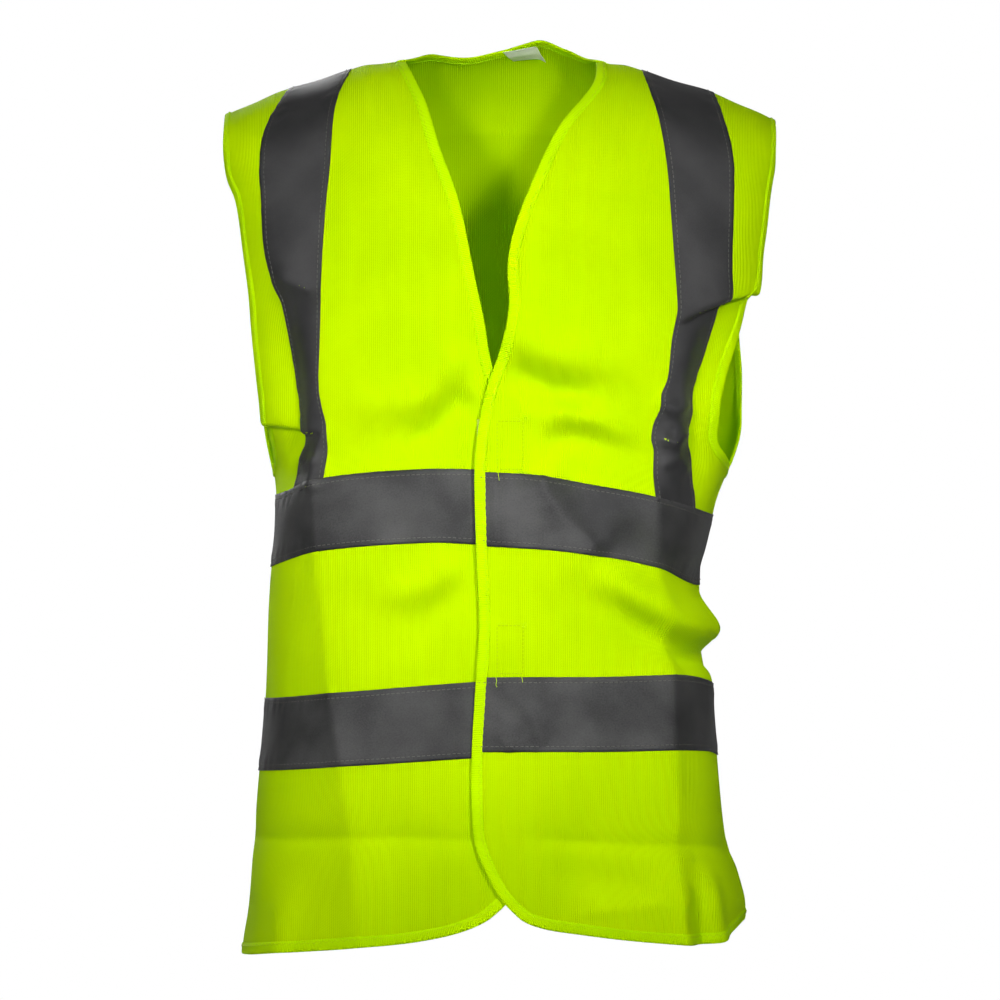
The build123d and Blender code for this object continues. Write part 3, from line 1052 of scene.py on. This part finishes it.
def gathered(grid, seed):
    """The tape's height over the cloth, drawn up in small gathers beside its stitches."""
    rng = np.random.default_rng(seed)
    from_edge = np.linspace(0, TAPE_WIDTH, grid.shape[0])
    from_edge = np.minimum(from_edge, TAPE_WIDTH - from_edge) - SEAM_INSET
    within = from_edge / GATHER_WIDE
    loose = np.where(from_edge < 0, -from_edge / SEAM_INSET, within * np.exp(1 - within))
    run = np.arange(grid.shape[1]) * CLOTH_STEP
    high = np.zeros(len(run))
    for long in GATHER_WAVES:
        high += np.sin(2 * math.pi * run / long + rng.uniform(0, 6)) / len(GATHER_WAVES)
    patchy = 0.6 + 0.4 * np.sin(run / 31 + rng.uniform(0, 6))
    patchy = patchy * ease(run / GATHER_END) * ease((run[-1] - run) / GATHER_END)
    return TAPE_OUT + GATHER_HIGH * loose[:, None] * (np.maximum(high, -0.5) + 0.5) * patchy


def front_band(level, name):
    """A reflective band across one front, with its stitches."""
    side = side_of(name)
    top, foot = band_edges(level, side)
    count = int(length(top) / CLOTH_STEP)
    grid = strip(spaced(top, count), spaced(foot, count), TAPE_ROWS)
    if side == UNDER:
        grid = grid[:, ::-1]
    tape = cloth_piece(f"{level}_tape_{name}", FRONT, side, grid, gathered(grid, 3 + side),
                       TAPE_THICK, BAND_TAPE)
    sewn = joined(f"{level}_tape_{name}_stitches", tape_stitches(FRONT, side, top, foot), TAPE_THREAD)
    settle(tape, [f"{level}_band_{name}_side", f"{level}_band_{name}_centre"], [sewn], side)


BACK_BAND_RISE = 3.0  # how much higher a back band's middle is


def back_band(level):
    """A reflective band across the back, from side seam to side seam, with its stitches."""
    heights = [[BANDS[level, UNDER][k], BANDS[level, OVER][k]] for k in (1, 3)]
    edges = []
    for right, left in heights:
        share = np.linspace(-1, 1, 60)
        z = right + (left - right) * (share + 1) / 2 + BACK_BAND_RISE * np.cos(math.pi * share / 2)
        line = np.array([at_share(BACK, a, b) for a, b in zip(share, z)])
        edges.append(spaced(line, int(2 * TABLE_SIDE / CLOTH_STEP)))
    grid = strip(*edges, TAPE_ROWS)
    tape = cloth_piece(f"{level}_tape_back", BACK, 0, grid, gathered(grid, 7), TAPE_THICK, BAND_TAPE)
    sewn = joined(f"{level}_tape_back_stitches", tape_stitches(BACK, 0, *edges), TAPE_THREAD)
    settle(tape, [f"{level}_band_back"], [sewn])


# The braces' inner and outer edges down the fronts
BRACES = {
    UNDER: ([(-107, -31), (-111, -75), (-113, -95), (-115, -129), (-117, -182), (-117.5, -222), (-115, -235),
             (-112, -246), (-111, -255), (-110.5, -282)],
            [(-155, -49), (-158, -75), (-157, -92), (-154.5, -122), (-149, -151), (-145, -162), (-143, -182),
             (-139, -215), (-135.5, -232), (-134, -246), (-132, -259), (-133, -265), (-134.5, -282),
             (-136, -294)]),
    OVER: ([(110, -42), (115, -72), (118, -109), (121, -155), (121.5, -169), (118, -189), (115, -215),
            (111, -225), (109.5, -235), (105.5, -245), (104, -255), (105.5, -262), (103.5, -282), (103, -295)],
           [(159, -62), (160.5, -85), (159, -122), (158, -142), (156, -160), (151.5, -166), (148.5, -182),
            (144, -202), (139, -215), (137, -225), (137.5, -239), (133.5, -249), (133, -259), (135, -265),
            (132, -289), (131.5, -303)]),
}
BRACE_TOP = {UNDER: (-97, -139), OVER: (99, 147)}
# The inner edge down the back, as (across, height)
BRACE_BACK = [(104, -70), (110, -160), (108, -298)]


def brace(name):
    """A reflective tape from the front's upper band over the shoulder to the back's, with its stitches."""
    side = side_of(name)
    inner_x, outer_x = BRACE_TOP[side]
    front = []
    for x, points in zip((inner_x, outer_x), BRACES[side]):
        front.append(drawn(FRONT, [(x, float(ridge(FRONT, x))), *points], 130))
    back = []
    for x, spread in zip((inner_x, outer_x), (0, side * TAPE_WIDTH)):
        line = [at_x(BACK, side * across, z) for across, z in BRACE_BACK]
        back.append(through([shoulder_point(BACK, x), *[(s + spread, t) for s, t in line]], 130))
    points, coords = [], []
    for face, edges in ((FRONT, front), (BACK, back)):
        grid = strip(*edges, TAPE_ROWS)
        p, _ = place(face, side, grid[..., 0], grid[..., 1], gathered(grid, 20 + side))
        points.append(p)
        coords.append(grid)
    # the two halves share the row on the shoulder line
    crest = (points[0][:, 0] + points[1][:, 0]) / 2
    verts = np.concatenate([points[0][:, :0:-1], crest[:, None], points[1][:, 1:]], axis=1)
    down = np.concatenate([-coords[0][:, :0:-1, 1], coords[1][:, :, 1]], axis=1)
    across = np.linspace(0, TAPE_WIDTH, TAPE_ROWS)[:, None] + 0 * down
    uv = np.stack([across, down], axis=-1) * MM
    faces = grid_faces(*down.shape, flip=side == UNDER)
    tape = solidify(new_mesh(f"{name}_brace", verts, faces, uv=uv, material=SHADED_BRACE_TAPE), TAPE_THICK)
    sewn = tape_stitches(FRONT, side, *front) + tape_stitches(BACK, side, *back)
    sewn = joined(f"{name}_brace_stitches", sewn, TAPE_THREAD)
    settle(tape, [f"{name}_brace_tape"], [sewn])


# ------------------------------------------------------------------ edge bindings
# The folded strip's section: (in from the edge, out from the cloth), round the outside and back inside it
BINDING_SECTION = [
    (6.7, 0.42), (6.4, 0.75), (5.2, 0.92), (2.8, 0.98), (0.6, 0.98), (-0.4, 0.7), (-0.75, 0.0), (-0.4, -0.7),
    (0.6, -0.98), (2.8, -0.98), (5.2, -0.92), (6.4, -0.75), (6.7, -0.42), (3.6, -0.38), (0.4, -0.3),
    (0.4, 0.3), (3.6, 0.38),
]
ZIGZAG = 2.3  # pitch of the binding's stitches


def binding_base(face, side, line, inside):
    """Points at a cloth's edge and at the binding's inner edge, with normals there."""
    line = spaced(line, int(length(line) / 1.1))
    ahead = directions(line)
    across = np.stack([-ahead[:, 1], ahead[:, 0]], axis=1)
    middle = len(line) // 2
    if np.dot(across[middle], np.array(inside) - line[middle]) < 0:
        across = -across
    far = line + across * BINDING_REACH
    edge_points, edge_normals = place(face, side, line[:, 0], line[:, 1])
    far_points, far_normals = place(face, side, far[:, 0], far[:, 1])
    return edge_points, edge_normals, far_points, far_normals


def bind(name, base, seed, looped=False):
    """The binding's mesh and its zigzag stitches, from its base."""
    edge, edge_out, far, far_out = base
    rng = np.random.default_rng(seed)
    run = distances(edge)
    way = unit(far - edge)
    pucker = 0.12 * np.sin(math.pi * run / ZIGZAG) + 0.25 * np.sin(run / 17 + rng.uniform(0, 6))
    rings = []
    for deep, high in BINDING_SECTION:
        share = deep / BINDING_REACH
        middle = edge + way * deep if deep < 0 else edge * (1 - share) + far * share
        turned = min(max(share, 0), 0.9)
        out = unit(edge_out * (1 - turned) + far_out * turned)
        shift = pucker if deep > 6 else pucker * 0.3
        rings.append(middle + out * high + way * shift[:, None])
    verts = np.stack(rings, axis=1)
    uv = np.empty((*verts.shape[:2], 2))
    uv[..., 0] = run[:, None] * MM
    uv[..., 1] = np.array([deep for deep, _ in BINDING_SECTION])[None] * MM
    faces = sleeve_faces(*verts.shape[:2], looped)
    piece = new_mesh(name, verts, faces, uv=uv, material=BINDING, closed=True)
    # zigzag over the inner edge, on both faces of the cloth
    parts = []
    at = np.arange(0.6, run[-1] - 1, ZIGZAG)
    share = np.where(np.arange(len(at)) % 2 == 0, 0.62, 0.84)[:, None]
    for out_sign in (1, -1):
        high = np.where(share < 0.8, 1.06, 0.98) * out_sign
        p = read_at(at, run, edge) * (1 - share) + read_at(at, run, far) * share
        parts.append(tube(p + read_at(at, run, far_out) * high, STITCH_THICK, sides=5))
    return piece, joined(f"{name}_stitches", parts, YELLOW_THREAD)


def front_binding(name):
    """Down a front's edge and round its hem."""
    side = side_of(name)
    line = np.vstack([front_edge(side), front_hem(side)[1:]])
    base = binding_base(FRONT, side, line, at_x(FRONT, side * 110, -300))
    piece, sewn = bind(f"{name}_edge_tape", base, 3 + side)
    settle(piece, [f"{name}_front_edge_binding", f"{name}_hem_binding"], [sewn], side)


def back_binding(name, line, inside, seed, node):
    """Along the neck or the hem of the back."""
    piece, sewn = bind(name, binding_base(BACK, 0, line, inside), seed)
    settle(piece, [node], [sewn])


def armhole_binding(name):
    """All round an armhole."""
    side = side_of(name)
    halves = []
    for face in (FRONT, BACK):
        line = armhole_edge(face, side)
        halves.append(binding_base(face, side, line, at_x(face, side * 90, -200)))
    # down the front, then up the back
    base = []
    for kind in range(4):
        down, up = halves[0][kind], halves[1][kind][::-1]
        foot = (down[-1] + up[0]) / 2
        crest = (down[0] + up[-1]) / 2
        base.append(np.vstack([crest, down[1:-1], foot, up[1:-1]]))
    piece, sewn = bind(f"{name}_arm_tape", base, 8 + side, looped=True)
    settle(piece, [f"{name}_armhole_binding"], [sewn])


# ------------------------------------------------------------------ closure patches, label and seams
PATCH_HALF = (10.0, 17.5)
LOOP_AT = {UPPER: (10.0, -259.0), LOWER: (10.0, -395.5)}
HOOK_AT = {UPPER: (-2.0, -259.0), LOWER: (7.0, -395.5)}
PATCH_THICK = 0.45
TUFT_PITCH = 1.25
# The line of a loop and of a hook, as (along, out) from where each starts
LOOP_SHAPE = [(0, 0), (0.1, 0.3), (0.45, 0.5), (0.8, 0.3), (0.9, 0.0)]
HOOK_SHAPE = [(0, 0), (0.0, 0.35), (0.12, 0.55), (0.35, 0.55), (0.45, 0.4)]


def patch_grid(middle):
    """The cloth coordinates of a patch round its middle."""
    s, t = at_x(FRONT, *middle)
    half_wide, half_long = PATCH_HALF
    across = np.linspace(s - half_wide, s + half_wide, int(2 * half_wide / TUFT_PITCH))
    down = np.linspace(t - half_long, t + half_long, int(2 * half_long / TUFT_PITCH))
    return np.stack(np.meshgrid(across, down), axis=-1)


def ring_line(grid, inset):
    """A rectangle of stitches just inside a patch's edge."""
    s0, t0 = grid[0, 0] + inset
    s1, t1 = grid[-1, -1] - inset
    return np.array([(s0, t0), (s1, t0), (s1, t1), (s0, t1), (s0, t0)])


def closure_patch(level, kind):
    """A sewn patch of hooks outside the under front, or of loops inside the over one."""
    loops = kind == "loop"
    side, middle, out_sign = (OVER, LOOP_AT[level], -1) if loops else (UNDER, HOOK_AT[level], 1)
    nylon = LOOPS if loops else HOOKS
    grid = patch_grid(middle)
    base_out = out_sign * (CLOTH_THICK / 2 + PATCH_THICK / 2)
    pad = cloth_piece(f"{level}_{kind}_pad", FRONT, side, grid, base_out, PATCH_THICK, nylon)
    # the tufts, loops at random and hooks nearly in rows
    rng = np.random.default_rng(31 if loops else 32)
    low, high = grid[0, 0] + 1.0, grid[-1, -1] - 1.0
    s, t = np.meshgrid(np.arange(low[0], high[0], TUFT_PITCH), np.arange(low[1], high[1], TUFT_PITCH))
    stray = 1.0 if loops else 0.2
    s = s + rng.uniform(-0.35, 0.35, s.shape) * stray
    t = t + rng.uniform(-0.35, 0.35, t.shape) * stray
    root = out_sign * (CLOTH_THICK / 2 + PATCH_THICK - 0.05)
    points, normals = place(FRONT, side, s.ravel(), t.ravel(), root)
    steps = np.array(LOOP_SHAPE if loops else HOOK_SHAPE)
    parts = []
    for p, n in zip(points, normals * out_sign):
        if loops:
            turn = rng.uniform(0, 2 * math.pi)
        else:
            turn = 0.0 if rng.random() < 0.5 else math.pi
        way = np.array([math.cos(turn), 0, math.sin(turn)])
        way = way - n * np.dot(way, n)
        parts.append(tube(p + steps[:, :1] * way + steps[:, 1:] * n, 0.09, sides=4))
    tufts = joined(f"{level}_{kind}_tufts", parts, nylon)
    sewn_line = ring_line(grid, 1.4)
    lines = []
    for first, last in zip(sewn_line[:-1], sewn_line[1:]):
        for out in (1, -1):
            seen_out = out * (CLOTH_THICK / 2 + (PATCH_THICK if out == out_sign else 0))
            p, n = cloth_line(FRONT, side, [first, last], seen_out)
            lines += dashes(p, n * out, pitch=2.6, long=2.0)
    sewn = joined(f"{level}_{kind}_stitches", lines, SHADED_PATCH_THREAD)
    for piece in (pad, tufts, sewn):
        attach(piece, "left_front" if loops else "right_front")
    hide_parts(f"{level}_{kind}_patch")


# Each thread starts at a place across and a height, and goes on in steps
LOOSE_THREADS = {
    "upper": [
        ((19.5, -242), [(1, -0.6, 2), (1.5, -0.8, -0.5), (-0.5, -0.4, -2), (-1.5, 0.1, 1.2),
                        (0.4, -0.2, 2.4)]),
        ((17.0, -243), [(-1, -0.7, 1.5), (-2.5, -0.6, 1.0), (-2.5, -0.2, -1.2)]),
        ((2.0, -277), [(0.3, -0.6, -2.5), (0.5, 0.1, -3.5), (0.4, 0.2, -2.5)]),
        ((17.0, -278), [(0.4, -0.6, -2.0), (-0.2, 0.1, -3.0)]),
        ((14.0, -277), [(3.5, -0.6, 0.4), (4.0, 0.1, -0.8)]),
    ],
    "lower": [
        ((18.5, -379), [(1.5, -0.7, 1.6), (1.0, -0.4, -1.6), (-2.0, -0.2, -1.6), (-1.4, 0.2, 1.0)]),
        ((12.0, -380), [(2.5, -0.7, 1.5), (2.5, -0.3, 0.6), (2.0, 0, -1.6), (1.5, 0.1, -2.2)]),
        ((8.0, -379), [(-1.5, -0.6, 0.8), (-2.8, 0, 0.5), (-2.5, 0.1, -0.8)]),
        ((0.5, -414), [(0.5, -0.6, -2.4), (-0.4, 0.1, -2.6), (0.6, 0.1, -1.5)]),
        ((17.5, -413), [(0.5, -0.6, -2.0), (0.4, 0.2, -2.6)]),
    ],
    "tail": [((84.5, -338.5), [(0.4, -0.5, -1.8), (0.8, 0.0, -2.6), (0.2, 0.1, -1.8)])],
}


def loose_threads():
    """Knots and cut thread ends on the over front."""
    for name, items in LOOSE_THREADS.items():
        parts = []
        for (x, z), steps in items:
            s, t = at_x(FRONT, x, z)
            p, _ = place(FRONT, OVER, np.array([s]), np.array([t]), 0.7)
            parts.append(curl(p[0], steps))
        piece = joined(f"{name}_thread_ends", parts, YELLOW_THREAD)
        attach(piece, "left_front" if name != "tail" else "vest")


LABEL_SIZE = (23.0, 13.0)
LABEL_TOP = 58.5  # how far down the back cloth the label starts
LABEL_X = 16.5
LABEL_LEAN = (0.55, 0.04)  # how its sides and its top lean


def label():
    """A plain label sewn at the back of the neck, lying on the inside of the collar."""
    wide, long = LABEL_SIZE
    middle_s = at_x(BACK, LABEL_X, float(ridge(BACK, LABEL_X)) - 11)[0]
    across = np.linspace(-wide / 2, wide / 2, 26)
    down = np.linspace(0, long, 18)
    a, b = np.meshgrid(across, down)
    s = middle_s + a + LABEL_LEAN[0] * b
    t = LABEL_TOP + b + LABEL_LEAN[1] * a
    gap = 1.4 + 1.2 * np.sin(math.pi * b / long) ** 2 + 0.35 * np.cos(a / 4.5)
    points, _ = place(BACK, 0, s, t, -gap)
    uv = np.stack([a, b], axis=-1) * MM
    piece = solidify(new_mesh("neck_tag", points, grid_faces(*a.shape), uv=uv, material=LABEL), 0.25)
    settle(piece, ["neck_label"])


ALLOWANCE = 5.0  # the width of a seam allowance


def seam_allowance(name, side, line_of, node):
    """The overlocked edge inside a seam: two cloth edges together under a zigzag of thread."""
    lines = [line_of(face, side) for face in (FRONT, BACK)]
    count = int(length(lines[0]) / 1.2)
    placed = []
    for face, line in zip((FRONT, BACK), lines):
        line = spaced(line, count)
        placed.append(place(face, side, line[:, 0], line[:, 1]))
    (front_points, front_out), (back_points, back_out) = placed
    points = (front_points + back_points) / 2
    inward = unit(-(front_out + back_out))
    lean = np.cross(directions(points), inward)
    half = [(0.0, 0.55), (0.25 * ALLOWANCE, 0.6), (0.6 * ALLOWANCE, 0.65), (ALLOWANCE, 0.6)]
    section = half + [(deep, -out) for deep, out in reversed(half)]
    bent = unit(inward * 0.55 + lean * 0.85)
    across = np.cross(directions(points), bent)
    piece = sweep(name, points + inward * 0.4, across, bent, section, KNIT)
    run = np.arange(len(points) - 1)
    deep = np.where(run % 2 == 0, 0.35, 1.04)[:, None] * ALLOWANCE
    middle = points[run] + inward[run] * 0.4 + bent[run] * deep
    over = [tube(middle + across[run] * out, 0.2, sides=4) for out in (0.85, -0.85)]
    sewn = joined(f"{name}_overlock", over, YELLOW_THREAD)
    settle(piece, [node], [sewn])


def seams():
    """Both side seams and both shoulder seams."""
    for name in ("left", "right"):
        for kind, line_of in (("side", seam_line), ("shoulder", shoulder_line)):
            seam_allowance(f"{name}_{kind}_allowance", side_of(name), line_of, f"{name}_{kind}_seam")


# ------------------------------------------------------------------ light, floor and camera
WHITE = (1.0, 1.0, 1.0, 1)
SKY = 0.06  # the light from all round
FLOOR_LOW, FLOOR_RADIUS, FLOOR_CORNERS = -850.0, 3200.0, 64
KEY_SIZE = 0.25
KEY_SPREAD = 27.0  # the key lamps' beams, in degrees


def world():
    """White where the camera looks, and a weak light all round."""
    sky = bpy.data.worlds.new("studio")
    sky.use_nodes = True
    tree = sky.node_tree
    lit = tree.nodes["Background"]
    seen = tree.nodes.new("ShaderNodeBackground")
    for node, strength in ((lit, SKY), (seen, 1.0)):
        node.inputs[0].default_value = WHITE
        node.inputs[1].default_value = strength
    ray = tree.nodes.new("ShaderNodeLightPath")
    mixed = tree.nodes.new("ShaderNodeMixShader")
    tree.links.new(ray.outputs["Is Camera Ray"], mixed.inputs[0])
    tree.links.new(lit.outputs[0], mixed.inputs[1])
    tree.links.new(seen.outputs[0], mixed.inputs[2])
    tree.links.new(mixed.outputs[0], tree.nodes["World Output"].inputs[0])
    bpy.context.scene.world = sky


def floor():
    """A round pale floor below the vest."""
    turns = [2 * math.pi * k / FLOOR_CORNERS for k in range(FLOOR_CORNERS)]
    ring = [(FLOOR_RADIUS * math.cos(turn), FLOOR_RADIUS * math.sin(turn), FLOOR_LOW) for turn in turns]
    mat, tree, shader, add = material("studio_paper")
    grain = add("ShaderNodeTexNoise", {"Scale": 3.0, "Detail": 2.0}).outputs[0]
    pale = ramp(add, grain, [(0.3, (0.90,) * 3), (0.7, (0.92,) * 3)])
    tree.links.new(pale, shader.inputs["Base Color"])
    tree.links.new(pale, shader.inputs["Emission Color"])
    looked_at = add("ShaderNodeLightPath").outputs["Is Camera Ray"]
    tree.links.new(looked_at, shader.inputs["Emission Strength"])
    shader.inputs["Roughness"].default_value = 0.9
    new_mesh("studio_floor", ring, [list(range(FLOOR_CORNERS))], material=mat)


def lamp(name, stands, aim, size, power, spread=180.0):
    """A square lamp. Places are in metres and spread is in degrees."""
    light = bpy.data.lights.new(name, "AREA")
    light.shape = "SQUARE"
    light.size = size
    light.energy = power
    light.spread = math.radians(spread)
    obj = bpy.data.objects.new(name, light)
    obj.location = stands
    way = Vector(aim) - Vector(stands)
    obj.rotation_euler = way.to_track_quat("-Z", "Y").to_euler()
    obj.visible_camera = False
    bpy.context.scene.collection.objects.link(obj)


def studio():
    """Two pairs of narrow lamps in front, on the chest and on the hem, and wide ones left and behind."""
    bpy.context.scene.view_settings.view_transform = "Standard"
    world()
    floor()
    for side in (-1, 1):
        high = (side * 0.72, -1.9, 0.52)
        low = (side * 0.72, -1.9, 0.30)
        lamp(f"key_{side + 2}", high, (0, 0, -0.17), KEY_SIZE, 0.58 + side * 0.05, KEY_SPREAD)
        lamp(f"low_key_{side + 2}", low, (0, 0, -0.47), KEY_SIZE, 0.46 + side * 0.04, KEY_SPREAD)
    lamp("fill", (-1.1, -1.8, -0.1), (0, 0, -0.3), 1.0, 2.2)
    lamp("rear", (-0.7, 2.1, 0.5), (0, 0, -0.3), 1.0, 24)


def camera():
    """Far off and level, straight in front."""
    far, front = 7.0, -0.106  # to the vest's front, and where that is
    view = 0.667  # width of the view at the vest's front
    data = bpy.data.cameras.new("camera")
    data.sensor_width = 36.0
    data.lens = data.sensor_width * far / view
    data.clip_end = 100
    obj = bpy.data.objects.new("camera", data)
    obj.location = (0.0033, front - far, -0.2955)
    obj.rotation_euler = (math.pi / 2, 0, 0)
    bpy.context.scene.collection.objects.link(obj)
    bpy.context.scene.camera = obj


def cut_pieces():
    for name, fastener in (("left", "loop"), ("right", "hook")):
        sewn = [f"{name}_{edge}_tape{part}" for edge in ("edge", "arm") for part in ("", "_stitches")]
        for level in (UPPER, LOWER):
            sewn += [f"{level}_{fastener}_{part}" for part in ("pad", "tufts", "stitches")]


back_panel()
for name in ("left", "right"):
    front_panel(name)
    brace(name)
    front_binding(name)
    armhole_binding(name)
    for level in (UPPER, LOWER):
        front_band(level, name)
for level in (UPPER, LOWER):
    back_band(level)
    for kind in ("loop", "hook"):
        closure_patch(level, kind)
back_binding("neck_edge_tape", neck_line(), (0.0, 150.0), 5, "neck_binding")
back_binding("back_hem_tape", back_hem(), (0.0, 300.0), 6, "back_hem_binding")
loose_threads()
label()
seams()
studio()
camera()
cut_pieces()
